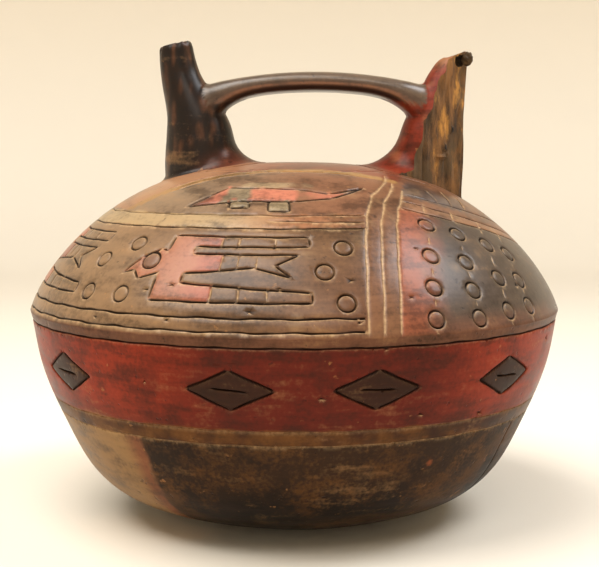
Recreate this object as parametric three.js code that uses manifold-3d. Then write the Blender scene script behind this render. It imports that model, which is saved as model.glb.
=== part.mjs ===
import * as THREE from 'three';
import { mergeVertices } from 'three/addons/utils/BufferGeometryUtils.js';
import Module from 'manifold-3d';

const wasm = await Module();
wasm.setup();

// Driving dimensions in millimetres and degrees. X runs along the bridge, the front faces -Y, and
// the vessel stands on Z = 0. An angle on the body is measured from the front towards +X.

// Body: a bowl below a sharp edge, and a domed shoulder above it.
const bodyRadius = 82.4;
const footRadius = 28;
const edgeHeight = 65;
const crownHeight = 110;
const wall = 5;

// Spout: hollow and leaning outwards, given by its middle and its width at four levels.
const spoutFootX = -28.9;
const spoutFootWidth = 23.8;
const spoutWaistHeight = 124;
const spoutWaistX = -30.6;
const spoutWaistWidth = 19.1;
const spoutNeckHeight = 138;
const spoutNeckX = -35.8;
const spoutNeckWidth = 12.4;
const spoutTop = 147.6;
const spoutTopX = -37.2;
const spoutTopWidth = 10.4;
const spoutOuterFlare = 1.8;
const spoutInnerFlare = 6;
const rimFall = 1.1;

// Bore: the way from the rim down into the body, and the clay left around it.
const rimWall = 1.3;
const boreOuterWall = 1.6;
const boreInnerWall = 4;
const boreSideWall = 2.2;

// Stub: what is left of the second, solid spout after its front and outer side broke away.
const stubFootX = 41.7;
const stubFootWidth = 23.5;
const stubWaistHeight = 123;
const stubWaistX = 43.9;
const stubWaistWidth = 18.6;
const stubNeckHeight = 136.3;
const stubNeckX = 47.7;
const stubNeckWidth = 12.8;
const stubTop = 144.4;
const stubTopX = 50.6;
const stubTopWidth = 7;
const stubOuterFlare = 0.8;
const stubInnerFlare = 8;
const breakDistance = 5.1;
const breakTurn = 35;
const breakLean = 2;

// Bridge: a flat strap that arches a little between the spout and the stub.
const bridgeHeight = 134.8;
const bridgeThickness = 6.2;
const bridgeWidth = 17;
const bridgeEndDrop = 5.8;
const bridgeEndThickness = 18;

// Incised lines: V grooves made in the damp clay.
const grooveWidth = 1.4;
const grooveDepth = 0.9;

// Bands round the bowl, and the row of diamonds in the red one.
const edgeGrooveDrop = 2.6;
const redBandHeight = 23;
const ochreBandHeight = 4.3;
const diamondAngles = [-54, -12.4, 16, 48];
const diamondsBehind = 4;
const diamondHalfAngle = 8.8;
const diamondHalfHeight = 5.6;
const diamondDashShare = 0.5;

// Lines round the shoulder, as heights above the edge, and the upright band across it. All heights of
// the shoulder's drawing are laid out on this rise, and they stretch with the shoulder's own.
const drawingRise = 44.3;
const panelLineRise = [1.6, 5.1];
const upperLineRise = [27.4, 30.8];
const bandLineX = [19.2, 23.5, 28];
const bandTopRise = 41;
const bandTopStep = 2.1;
const bandSpread = 7.5;
const bandTurnPower = 8;
const borderDepth = 30;
const borderReach = -36;

// Bird: three bars trail from an upright breast, in degrees round the body and in height.
const birdBreastAngle = -30;
const birdReach = 33.5;
const birdFootRise = 8.9;
const birdHeight = 16.4;
const birdSpacing = 56;
const birdCount = 2;
const circleRadius = 2.6;

// How finely the round forms are faceted.
const bodySides = 36;
const bowlRows = 6;
const shoulderRows = 7;
const columnSides = 14;
const columnRows = 6;
const flareRows = 3;
const boreRows = 3;
const bridgeSides = 8;
const bridgeRows = 9;
const circleSides = 6;
const chamberSides = 24;

const radians = THREE.MathUtils.degToRad;
const degrees = THREE.MathUtils.radToDeg;
const lerp = THREE.MathUtils.lerp;
const smooth = THREE.MathUtils.smoothstep;

// The shoulder is a flattened superellipse, so it leaves the edge on a slant and is level at the crown.
const shoulderRoundness = 2.588;
const shoulderFullness = 1.292;
const shoulderRise = crownHeight - edgeHeight;

// The bowl's outline, as shares of the way from the foot's rim out to the edge and up to it.
const bowlShape = [
  [0, 0], [0.22, 0.042], [0.515, 0.139], [0.671, 0.257], [0.827, 0.5], [0.943, 0.748], [1, 1],
];
const bowlCurve = new THREE.SplineCurve(bowlShape.map(([out, up]) => (
  new THREE.Vector2(lerp(footRadius, bodyRadius, out), up * edgeHeight)
)));
const bowlPoints = bowlCurve.getPoints(96);

function bowlRadius(height) {
  const above = bowlPoints.findIndex((point) => point.y >= height);
  if (above < 1) return height <= 0 ? footRadius : bodyRadius;
  const low = bowlPoints[above - 1];
  const high = bowlPoints[above];
  return lerp(low.x, high.x, (height - low.y) / (high.y - low.y));
}

function bodyOutline(height) {
  if (height < edgeHeight) return bowlRadius(height);
  const rise = Math.min((height - edgeHeight) / shoulderRise, 1);
  return bodyRadius * (1 - rise ** shoulderFullness) ** (1 / shoulderRoundness);
}

function shoulderHeight(radius) {
  const out = Math.min(radius / bodyRadius, 1);
  return edgeHeight + shoulderRise * (1 - out ** shoulderRoundness) ** (1 / shoulderFullness);
}

// The outline's slope as a unit vector pointing up along the wall, in (radius, height).
function wallDirection(height) {
  const step = 0.05;
  const low = Math.max(height - step, 0.01);
  const high = Math.min(height + step, crownHeight - 0.01);
  return new THREE.Vector2(bodyOutline(high) - bodyOutline(low), high - low).normalize();
}

// A closed mesh becomes a solid once its vertices are shared and its slivers at the poles are dropped.
function toSolid(geometry) {
  geometry.deleteAttribute('normal');
  geometry.deleteAttribute('uv');
  const merged = mergeVertices(geometry, 1e-4);
  const corners = merged.index.array;
  const triVerts = [];
  for (let i = 0; i < corners.length; i += 3) {
    const [a, b, c] = [corners[i], corners[i + 1], corners[i + 2]];
    if (a !== b && b !== c && c !== a) triVerts.push(a, b, c);
  }
  return new wasm.Manifold(new wasm.Mesh({
    numProp: 3,
    vertProperties: new Float32Array(merged.attributes.position.array),
    triVerts: new Uint32Array(triVerts),
  }));
}

function turned(points, sides) {
  const geometry = new THREE.LatheGeometry(points, sides);
  geometry.rotateX(Math.PI / 2);
  return toSolid(geometry);
}

// A skin over closed rings of points, capped at both ends or joined end to end.
function ringSkin(rings, joined = false) {
  const sides = rings[0].length;
  const positions = rings.flat().flatMap((point) => [point.x, point.y, point.z]);
  const index = [];
  const spans = joined ? rings.length : rings.length - 1;
  for (let ring = 0; ring < spans; ring += 1) {
    const next = (ring + 1) % rings.length;
    for (let side = 0; side < sides; side += 1) {
      const after = (side + 1) % sides;
      const [a, b] = [ring * sides + side, ring * sides + after];
      const [c, d] = [next * sides + after, next * sides + side];
      index.push(a, b, c, a, c, d);
    }
  }
  if (!joined) {
    [rings[0], rings[rings.length - 1]].forEach((ring, end) => {
      const middle = new THREE.Vector3();
      ring.forEach((point) => middle.addScaledVector(point, 1 / sides));
      const centre = positions.length / 3;
      positions.push(middle.x, middle.y, middle.z);
      const first = end * (rings.length - 1) * sides;
      for (let side = 0; side < sides; side += 1) {
        const [a, b] = [first + side, first + ((side + 1) % sides)];
        index.push(...(end ? [a, b, centre] : [b, a, centre]));
      }
    });
  }
  const geometry = new THREE.BufferGeometry();
  geometry.setAttribute('position', new THREE.Float32BufferAttribute(positions, 3));
  geometry.setIndex(index);
  return toSolid(geometry);
}

// Body: the outside has its three ring grooves turned into the outline, and the inside follows it.
const edgeGroove = edgeHeight - edgeGrooveDrop;
const redBandFoot = edgeGroove - redBandHeight;
const ochreBandFoot = redBandFoot - ochreBandHeight;
const ringGrooves = [ochreBandFoot, redBandFoot, edgeGroove];

function bodyHeights() {
  const bowl = Array.from({ length: bowlRows }, (_, row) => bowlCurve.getPoint((row + 1) / bowlRows).y);
  const shoulder = Array.from({ length: shoulderRows - 1 }, (_, row) => {
    const turn = (Math.PI / 2) * ((row + 1) / shoulderRows);
    return edgeHeight + shoulderRise * Math.sin(turn) ** (2 / shoulderFullness);
  });
  return [...bowl, ...shoulder];
}

function outsidePoints() {
  const clear = grooveWidth * 1.2;
  const plain = bodyHeights().filter((height) => (
    ringGrooves.every((ring) => Math.abs(height - ring) > clear)
  ));
  const rows = plain.map((height) => [height, 0]);
  ringGrooves.forEach((ring) => {
    rows.push([ring - grooveWidth / 2, 0], [ring, grooveDepth], [ring + grooveWidth / 2, 0]);
  });
  rows.sort((a, b) => a[0] - b[0]);
  const points = rows.map(([height, depth]) => new THREE.Vector2(bodyOutline(height) - depth, height));
  const foot = [new THREE.Vector2(0, 0), new THREE.Vector2(footRadius, 0)];
  return [...foot, ...points, new THREE.Vector2(0, crownHeight)];
}

function insidePoints() {
  const points = [new THREE.Vector2(0, wall)];
  bodyHeights().filter((_, row) => row % 2 === 0).forEach((height) => {
    const up = wallDirection(height);
    const point = new THREE.Vector2(bodyOutline(height) - wall * up.y, height + wall * up.x);
    const last = points[points.length - 1];
    if (point.y > last.y + 0.4 && point.y < crownHeight - wall - 0.4) points.push(point);
  });
  points.push(new THREE.Vector2(0, crownHeight - wall));
  return points;
}

const body = turned(outsidePoints(), bodySides);
const chamber = turned(insidePoints(), chamberSides);

// Spout and stub: each is a run of ellipses whose foot flares out and dies into the shoulder.
const footSink = 1.6;

function columnAt(shape, height) {
  const points = shape.points;
  const above = Math.max(points.findIndex((point) => point.z >= height), 0);
  const high = height > points[points.length - 1].z ? points[points.length - 1] : points[above];
  const low = above ? points[above - 1] : high;
  const share = high.z > low.z ? (height - low.z) / (high.z - low.z) : 0;
  return { x: lerp(low.x, high.x, share), width: lerp(low.y, high.y, share) };
}

function columnPoint(shape, angle, height, out = 0) {
  const { x, width } = columnAt(shape, height);
  const radius = width / 2 + out;
  return new THREE.Vector3(x + radius * Math.cos(angle), radius * Math.sin(angle), height);
}

// A point of the flare: out from the column by one amount and up from the shoulder by another.
function flarePoint(shape, angle, out, lift) {
  const point = columnPoint(shape, angle, crownHeight, out);
  for (let pass = 0; pass < 4; pass += 1) {
    point.z = shoulderHeight(Math.hypot(point.x, point.y)) + lift;
    const column = columnPoint(shape, angle, point.z, out);
    point.setX(column.x);
    point.setY(column.y);
  }
  return point;
}

function columnRings(shape) {
  const sides = Array.from({ length: columnSides }, (_, side) => {
    const angle = (2 * Math.PI * side) / columnSides;
    const inwards = Math.max(shape.inwards * Math.cos(angle), 0);
    return { angle, flare: lerp(shape.outerFlare, shape.innerFlare, inwards) };
  });
  const rings = [];
  for (let row = 0; row <= flareRows; row += 1) {
    const turn = (Math.PI / 2) * (row / flareRows);
    rings.push(sides.map(({ angle, flare }) => (
      flarePoint(shape, angle, flare * (1 - Math.sin(turn)), row ? flare * (1 - Math.cos(turn)) : -footSink)
    )));
  }
  const starts = rings[flareRows].map((point) => point.z);
  for (let row = 1; row <= columnRows; row += 1) {
    rings.push(sides.map(({ angle }, side) => {
      const top = shape.top + shape.rimFall * (Math.cos(angle) - 1);
      return columnPoint(shape, angle, lerp(starts[side], top, row / columnRows));
    }));
  }
  return rings;
}

// A column's stations are [height, middle, width], and a smooth curve runs through them.
function column(stations, sizes) {
  const marks = stations.map(([height, x, width]) => new THREE.Vector3(x, width, height));
  const curve = new THREE.CatmullRomCurve3(marks);
  return { ...sizes, top: stations[stations.length - 1][0], points: curve.getPoints(40) };
}

const spoutShape = column([
  [crownHeight, spoutFootX, spoutFootWidth],
  [spoutWaistHeight, spoutWaistX, spoutWaistWidth],
  [spoutNeckHeight, spoutNeckX, spoutNeckWidth],
  [spoutTop, spoutTopX, spoutTopWidth],
], { outerFlare: spoutOuterFlare, innerFlare: spoutInnerFlare, inwards: 1, rimFall });

const stubShape = column([
  [crownHeight, stubFootX, stubFootWidth],
  [stubWaistHeight, stubWaistX, stubWaistWidth],
  [stubNeckHeight, stubNeckX, stubNeckWidth],
  [stubTop, stubTopX, stubTopWidth],
], { outerFlare: stubOuterFlare, innerFlare: stubInnerFlare, inwards: -1, rimFall: 0 });

const spout = ringSkin(columnRings(spoutShape));
const stub = ringSkin(columnRings(stubShape));

// Bore: its outer wall stays thin and upright, so a straight way leads down into the chamber.
function boreRing(height) {
  const { x, width } = columnAt(spoutShape, Math.max(height, crownHeight));
  const nearRim = smooth(height, spoutWaistHeight, spoutTop);
  const outer = x - width / 2 + lerp(boreOuterWall, rimWall, nearRim);
  const inner = x + width / 2 - lerp(boreInnerWall, rimWall, nearRim);
  const reach = width / 2 - lerp(boreSideWall, rimWall, nearRim);
  return Array.from({ length: columnSides }, (_, side) => {
    const angle = (2 * Math.PI * side) / columnSides;
    const along = (inner - outer) / 2;
    return new THREE.Vector3((inner + outer) / 2 + along * Math.cos(angle), reach * Math.sin(angle), height);
  });
}

const boreFoot = shoulderHeight(Math.abs(spoutFootX)) - 2 * wall;
const bore = ringSkin(Array.from({ length: boreRows + 1 }, (_, row) => (
  boreRing(lerp(boreFoot, spoutTop + 1, row / boreRows))
)));

// Bridge: rounded sections that thicken where they run into the spout and the stub. Its section is a
// superellipse, its ends are narrower than its middle, and the powers say how late it droops and swells.
const bridgeSectionAcross = 0.6;
const bridgeSectionUp = 0.8;
const bridgeEndWidthShare = 0.7;
const bridgeDroopPower = 2;
const bridgeSwellPower = 6.6;
const bridgeSwellRate = 3.5;

function power(value, exponent) {
  return Math.sign(value) * Math.abs(value) ** exponent;
}

function bridgeRing(share) {
  const fromMiddle = Math.abs(2 * share - 1);
  const swell = 1 - Math.exp(-bridgeSwellRate * fromMiddle ** bridgeSwellPower);
  const start = columnAt(spoutShape, bridgeHeight).x;
  const end = columnAt(stubShape, bridgeHeight).x;
  const thickness = lerp(bridgeThickness, bridgeEndThickness, swell);
  const top = bridgeHeight + bridgeThickness / 2 - bridgeEndDrop * fromMiddle ** bridgeDroopPower;
  return Array.from({ length: bridgeSides }, (_, side) => {
    const angle = (2 * Math.PI * side) / bridgeSides;
    const out = power(Math.cos(angle), bridgeSectionAcross);
    const up = power(Math.sin(angle), bridgeSectionUp);
    const y = (bridgeWidth / 2) * lerp(1, bridgeEndWidthShare, swell) * out;
    return new THREE.Vector3(lerp(start, end, share), y, top + (thickness / 2) * (up - 1));
  });
}

const bridge = ringSkin(Array.from({ length: bridgeRows + 1 }, (_, row) => bridgeRing(row / bridgeRows)));

// The break: a steep plane that took the stub's front and outer side away.
const breakHeight = 2.4 * (stubTop - crownHeight + 2);
const breakDepth = 2 * stubFootWidth;
const breakBlock = new THREE.BoxGeometry(breakHeight, breakDepth, breakHeight);
breakBlock.translate(0, -breakDepth / 2, 0);
breakBlock.rotateX(radians(breakLean));
breakBlock.rotateZ(radians(breakTurn));
breakBlock.translate(
  stubWaistX + breakDistance * Math.sin(radians(breakTurn)),
  -breakDistance * Math.cos(radians(breakTurn)),
  stubWaistHeight,
);
const brokenSide = stub.add(bridge).subtract(toSolid(breakBlock));

// The height of a line of the shoulder's drawing.
function drawnHeight(rise) {
  return edgeHeight + (rise * shoulderRise) / drawingRise;
}

// Incised lines lie on the outline: a place is an angle round the body and a height.
function onBody(angle, height) {
  const radius = bodyOutline(height);
  const up = wallDirection(height);
  const turn = radians(angle);
  return {
    point: new THREE.Vector3(radius * Math.sin(turn), -radius * Math.cos(turn), height),
    normal: new THREE.Vector3(up.y * Math.sin(turn), -up.y * Math.cos(turn), -up.x),
  };
}

// A place given by its distance across the vessel and its height, in front or, with side -1, behind.
function across(x, height, side = 1) {
  const angle = degrees(Math.asin(THREE.MathUtils.clamp(x / bodyOutline(height), -1, 1)));
  return [side > 0 ? angle : 180 - angle, height];
}

// A place on the shoulder seen from above.
function fromAbove(x, y) {
  return [degrees(Math.atan2(x, -y)), shoulderHeight(Math.hypot(x, y))];
}

// A groove is a V swept along its places, standing a little proud of the surface that it cuts.
function groove(places, joined = false) {
  const count = places.length;
  const proud = grooveDepth;
  const reach = (grooveWidth / 2) * ((grooveDepth + proud) / grooveDepth);
  const rings = places.map(([angle, height], i) => {
    const before = places[joined ? (i + count - 1) % count : Math.max(i - 1, 0)];
    const after = places[joined ? (i + 1) % count : Math.min(i + 1, count - 1)];
    const { point, normal } = onBody(angle, height);
    const round = new THREE.Vector3(-normal.y, normal.x, 0).normalize();
    const up = new THREE.Vector3().crossVectors(round, normal).negate();
    const run = radians(after[0] - before[0]) * bodyOutline(height);
    const climb = (after[1] - before[1]) / wallDirection(height).y;
    const along = round.clone().multiplyScalar(run).addScaledVector(up, climb);
    const side = along.cross(normal).normalize();
    const top = point.clone().addScaledVector(normal, proud);
    return [
      point.clone().addScaledVector(normal, -grooveDepth),
      top.clone().addScaledVector(side, -reach),
      top.clone().addScaledVector(side, reach),
    ];
  });
  return ringSkin(rings, joined);
}

// A drawn line runs straight from place to place, one stroke at a time, and bends where the facets do.
function drawn(places) {
  const facet = 360 / bodySides;
  return places.slice(1).map((end, i) => {
    const start = places[i];
    const span = end[0] - start[0];
    const crossed = [];
    const first = Math.ceil(Math.min(start[0], end[0]) / facet);
    for (let k = first; k * facet < Math.max(start[0], end[0]); k += 1) {
      const share = (k * facet - start[0]) / span;
      if (share > 0.04 && share < 0.96) crossed.push(share);
    }
    crossed.sort((a, b) => a - b);
    return groove([0, ...crossed, 1].map((share) => [
      start[0] + span * share,
      lerp(start[1], end[1], share),
    ]));
  });
}

function circle([angle, height]) {
  const up = wallDirection(height).y;
  return groove(Array.from({ length: circleSides }, (_, side) => {
    const turn = (2 * Math.PI * side) / circleSides;
    const out = degrees((circleRadius * Math.cos(turn)) / bodyOutline(height));
    return [angle + out, height + circleRadius * Math.sin(turn) * up];
  }), true);
}

// Diamonds: four in front, set as the potter spaced them, and the rest evenly round the back.
function diamond(angle) {
  const height = (edgeGroove + redBandFoot) / 2;
  const dash = diamondHalfAngle * diamondDashShare;
  const outline = groove([
    [angle - diamondHalfAngle, height],
    [angle, height + diamondHalfHeight],
    [angle + diamondHalfAngle, height],
    [angle, height - diamondHalfHeight],
  ].reverse(), true);
  return [outline, groove([[angle - dash, height], [angle + dash, height]])];
}

function diamondRow() {
  const first = diamondAngles[0] + 360;
  const last = diamondAngles[diamondAngles.length - 1];
  const behind = Array.from({ length: diamondsBehind }, (_, i) => (
    lerp(last, first, (i + 1) / (diamondsBehind + 1))
  ));
  return [...diamondAngles, ...behind].flatMap(diamond);
}

// Panel lines run from the upright band in front, round the spout's side, to the band behind.
function panelLines() {
  return [...panelLineRise, ...upperLineRise].flatMap((rise) => {
    const height = drawnHeight(rise);
    const end = across(bandLineX[0], height)[0];
    return drawn([[end, height], [-180 - end, height]]);
  });
}

// The upright band has three lines in front and two behind. Each stops lower than the one before it, and
// they turn outwards as they near the crown.
function uprightBand() {
  const rows = shoulderRows - 1;
  const linesBehind = [bandLineX[0], bandLineX[bandLineX.length - 1]];
  return [1, -1].flatMap((side) => (side > 0 ? bandLineX : linesBehind).map((x) => {
    const top = bandTopRise - bandTopStep * bandLineX.indexOf(x);
    const places = Array.from({ length: rows + 1 }, (_, row) => {
      const rise = (top * row) / rows;
      return across(x + bandSpread * (rise / bandTopRise) ** bandTurnPower, drawnHeight(rise), side);
    });
    return groove(side > 0 ? places : places.reverse());
  }));
}

// The border lines pass in front of the bridge and behind it.
function borderLines() {
  const steps = 6;
  const end = bandLineX[0] + bandSpread / 2;
  return [1, -1].map((side) => groove(Array.from({ length: steps + 1 }, (_, i) => (
    fromAbove(lerp(borderReach, end, i / steps), -side * borderDepth)
  ))));
}

// Birds: an outline, a head that looks left and an eye, in shares of the bird. The one in front also has
// bars across its feathers.
const birdOutline = [
  [0, 0.76], [0, 1], [1, 1], [1, 0.85], [0.2, 0.84], [0.2, 0.73], [0.93, 0.73], [0.77, 0.57], [0.88, 0.38],
  [0.64, 0.53], [0.18, 0.42], [0.18, 0.28], [1, 0.16], [1, 0], [0, 0], [0, 0.36],
];
const birdHead = [
  [0, 0.76], [-0.06, 0.79], [-0.19, 0.64], [-0.29, 0.38], [-0.2, 0.45], [-0.14, 0.31], [0, 0.42],
];
const birdBars = [[0.52, 0.845, 1], [0.8, 0.845, 1], [0.52, 0.5, 0.73], [0.5, 0, 0.23], [0.76, 0, 0.19]];
const birdEye = [-0.1, 0.6];

function bird(breast, barred) {
  const place = ([along, up]) => [breast + birdReach * along, drawnHeight(birdFootRise + birdHeight * up)];
  const bars = barred ? birdBars : [];
  return [
    ...drawn(birdOutline.map(place)),
    ...drawn(birdHead.map(place)),
    ...bars.flatMap(([along, low, high]) => drawn([[along, low], [along, high]].map(place))),
    circle(place(birdEye)),
  ];
}

function birds() {
  return Array.from({ length: birdCount }, (_, i) => bird(birdBreastAngle - birdSpacing * i, !i)).flat();
}

// Loose circles: four before each bird's beak and three behind the first bird's tail.
const circlesBefore = [[-18.5, 18.2], [-10.3, 22.9], [-17.5, 9.7], [-7.4, 9.9]];
const circlesBehindTail = [[41.2, 22.6], [36.3, 16.7], [40, 8.9]];

function looseCircles() {
  const place = (breast, [angle, rise]) => circle([breast + angle, drawnHeight(rise)]);
  const before = Array.from({ length: birdCount }, (_, i) => (
    circlesBefore.map((spot) => place(birdBreastAngle - birdSpacing * i, spot))
  ));
  return [...before.flat(), ...circlesBehindTail.map((spot) => place(birdBreastAngle, spot))];
}

// Columns of circles beyond the upright band: the distance across at the edge, the lean, and the rises.
const circleColumns = [
  { x: 37.8, lean: 0.03, top: 27.8, foot: 4, count: 4 },
  { x: 50.9, lean: 0.19, top: 25, foot: 3.4, count: 4 },
  { x: 60.7, lean: 0.26, top: 21.6, foot: 4.4, count: 3 },
  { x: 68.4, lean: 0.34, top: 18.6, foot: 4.7, count: 3 },
];

function columnCircles() {
  return circleColumns.flatMap(({ x, lean, top, foot, count }) => Array.from({ length: count }, (_, i) => {
    const rise = lerp(foot, top, i / (count - 1));
    return circle(across(x - lean * rise, drawnHeight(rise)));
  }));
}

// Slanting lines fall away from the upright band towards the side, in angle and rise.
const slantLines = [[[41, 35.9], [90, 24.1]], [[36.8, 34.1], [90, 20]], [[33.5, 32.3], [90, 17.7]]];

function slants() {
  return slantLines.flatMap((line) => drawn(line.map(([angle, rise]) => [angle, drawnHeight(rise)])));
}

// The animal in the upper register: a back and a belly line that meet at the snout and at the tail.
const animalBack = [[-34.4, 32.7], [-29, 35.8], [-25, 37.9], [-12, 37.9], [1, 37.6], [12, 36.4], [26, 37.8]];
const animalBelly = [[-34.4, 32.7], [-18, 34.4], [0, 34.5], [12, 35.2], [26, 37.8]];

function animal() {
  const place = ([angle, rise]) => [angle, drawnHeight(rise)];
  return [...drawn(animalBack.map(place)), ...drawn(animalBelly.map(place))];
}

const carved = wasm.Manifold.union([
  ...diamondRow(),
  ...panelLines(),
  ...uprightBand(),
  ...borderLines(),
  ...birds(),
  ...looseCircles(),
  ...columnCircles(),
  ...slants(),
  ...animal(),
]);
const clay = wasm.Manifold.union([body.subtract(carved), spout, brokenSide]);
const vessel = clay.subtract(chamber).subtract(bore);

function toGeometry(solid) {
  const mesh = solid.getMesh();
  const geometry = new THREE.BufferGeometry();
  geometry.setAttribute('position', new THREE.BufferAttribute(mesh.vertProperties, mesh.numProp));
  geometry.setIndex(new THREE.BufferAttribute(mesh.triVerts, 1));
  return geometry;
}

const bottle = new THREE.Mesh(toGeometry(vessel), new THREE.MeshStandardMaterial({
  color: 0x6e4630,
  roughness: 0.45,
  metalness: 0,
}));
bottle.name = 'bottle';

const object = new THREE.Group();
object.add(bottle);

export default object;
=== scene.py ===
import math
import random

import bpy
import numpy as np
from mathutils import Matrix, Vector, bvhtree, kdtree, noise
from mathutils.geometry import delaunay_2d_cdt


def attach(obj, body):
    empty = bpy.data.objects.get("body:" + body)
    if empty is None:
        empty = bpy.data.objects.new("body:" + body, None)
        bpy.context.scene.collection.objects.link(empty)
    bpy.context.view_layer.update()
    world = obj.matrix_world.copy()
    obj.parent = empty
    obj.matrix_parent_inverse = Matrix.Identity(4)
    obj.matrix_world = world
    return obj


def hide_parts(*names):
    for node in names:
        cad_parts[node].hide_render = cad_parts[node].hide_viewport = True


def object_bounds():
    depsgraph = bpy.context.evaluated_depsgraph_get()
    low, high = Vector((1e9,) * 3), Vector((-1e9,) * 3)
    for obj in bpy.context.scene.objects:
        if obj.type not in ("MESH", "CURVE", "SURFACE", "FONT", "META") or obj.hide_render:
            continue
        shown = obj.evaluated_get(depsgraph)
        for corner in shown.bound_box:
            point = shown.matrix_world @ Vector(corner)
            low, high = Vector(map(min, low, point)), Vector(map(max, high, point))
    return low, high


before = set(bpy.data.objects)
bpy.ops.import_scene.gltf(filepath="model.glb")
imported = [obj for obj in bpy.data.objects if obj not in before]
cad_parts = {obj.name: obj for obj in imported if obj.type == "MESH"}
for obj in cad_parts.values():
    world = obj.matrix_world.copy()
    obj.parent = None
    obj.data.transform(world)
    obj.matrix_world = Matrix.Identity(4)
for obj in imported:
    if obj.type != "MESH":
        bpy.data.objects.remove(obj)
cad_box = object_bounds()

# Outline of the body. The real one is a hollow body of fired clay, built up by hand: a round bowl
# below a sharp edge, and a flattened dome above it. Sizes are in millimetres and angles in degrees
# from the front towards +X. A place on it is an angle and a height, or a run along the outline.
MM = 0.001
body_radius = cad_box[1].x / MM
spout_top = cad_box[1].z / MM
foot_radius = 28
edge_height = 65
crown_height = 110
wall = 5
shoulder_roundness = 2.588
shoulder_fullness = 1.292
shoulder_rise = crown_height - edge_height
bowl_shape = [
    (0, 0), (0.22, 0.042), (0.515, 0.139), (0.671, 0.257), (0.827, 0.5), (0.943, 0.748), (1, 1),
]


def smooth_line(marks, count=160):
    """Points of a smooth curve through the marks."""
    marks = np.array(marks, float)
    ends = [2 * marks[0] - marks[1], 2 * marks[-1] - marks[-2]]
    marks = np.vstack([ends[0], marks, ends[1]])
    gaps = np.linalg.norm(np.diff(marks, axis=0), axis=1) ** 0.5
    points = []
    for share in np.linspace(0, len(marks) - 3, count):
        i = min(int(share), len(marks) - 4)
        t = share - i
        p0, p1, p2, p3 = marks[i:i + 4]
        g0, g1, g2 = gaps[i:i + 3]
        start = ((p1 - p0) / g0 - (p2 - p0) / (g0 + g1) + (p2 - p1) / g1) * g1
        end = ((p2 - p1) / g1 - (p3 - p1) / (g1 + g2) + (p3 - p2) / g2) * g1
        points.append(
            p1 * (2 * t**3 - 3 * t**2 + 1) + p2 * (3 * t**2 - 2 * t**3)
            + start * (t**3 - 2 * t**2 + t) + end * (t**3 - t**2)
        )
    return np.array(points)


class Outline:
    """One half of the body's outline, run from its middle out to the edge."""

    def __init__(self, radius, height, out):
        lengths = np.hypot(np.diff(radius), np.diff(height))
        self.run = np.concatenate([[0], np.cumsum(lengths)])
        self.radius = radius
        self.height = height
        self.out = out
        slope_out = np.gradient(radius, self.run)
        slope_up = np.gradient(height, self.run)
        self.normal = np.stack([-out * slope_up, out * slope_out])
        self.end = self.run[-1]
        self.strokes = []

    def radius_at(self, run):
        return np.interp(run, self.run, self.radius)

    def run_at(self, height):
        order = slice(None, None, -1) if self.out > 0 else slice(None)
        return np.interp(height, self.height[order], self.run[order])

    def place(self, angle, run, depth=0):
        """Points on the outline at these angles, in radians, and runs, sunk by a depth."""
        out, up = (np.interp(run, self.run, part) for part in self.normal)
        radius = self.radius_at(run) - depth * out
        height = np.interp(run, self.run, self.height) - depth * up
        return np.stack([radius * np.sin(angle), -radius * np.cos(angle), height], axis=-1)


turns = np.linspace(np.pi / 2, 0, 900)
shoulder = Outline(
    body_radius * np.cos(turns) ** (2 / shoulder_roundness),
    edge_height + shoulder_rise * np.sin(turns) ** (2 / shoulder_fullness),
    1,
)
bowl_line = smooth_line([
    (foot_radius + (body_radius - foot_radius) * out, up * edge_height) for out, up in bowl_shape
], 900)
bowl = Outline(
    np.concatenate([[0, foot_radius - 0.5], bowl_line[:, 0]]),
    np.concatenate([[0, 0], np.maximum(bowl_line[:, 1], 0)]),
    -1,
)


def shoulder_height(x, y):
    """Height of the shoulder above a place seen from above."""
    share = np.minimum(np.hypot(x, y) / body_radius, 1)
    full = (1 - share**shoulder_roundness) ** (1 / shoulder_fullness)
    return edge_height + shoulder_rise * full


# Incised drawing. The potter cut every line into the damp clay with a pointed tool, by hand, so the
# lines wander a little, change in depth and taper at their ends. A stroke keeps its stations.
groove_half_width = 0.44
groove_depth = 0.5
pit_depth = 0.4
hand = random.Random(7)


def short_way(turn, full=2 * math.pi):
    """The same turn, taken the short way round."""
    return (turn + full / 2) % full - full / 2


def wander(lengths, size, wave):
    """A smooth random line along these lengths."""
    value = np.zeros_like(lengths)
    for octave in (1, 2.3):
        value += np.sin(lengths * octave * 2 * np.pi / wave + hand.uniform(0, 6.28)) / octave
    return value * size / 1.4


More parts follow.
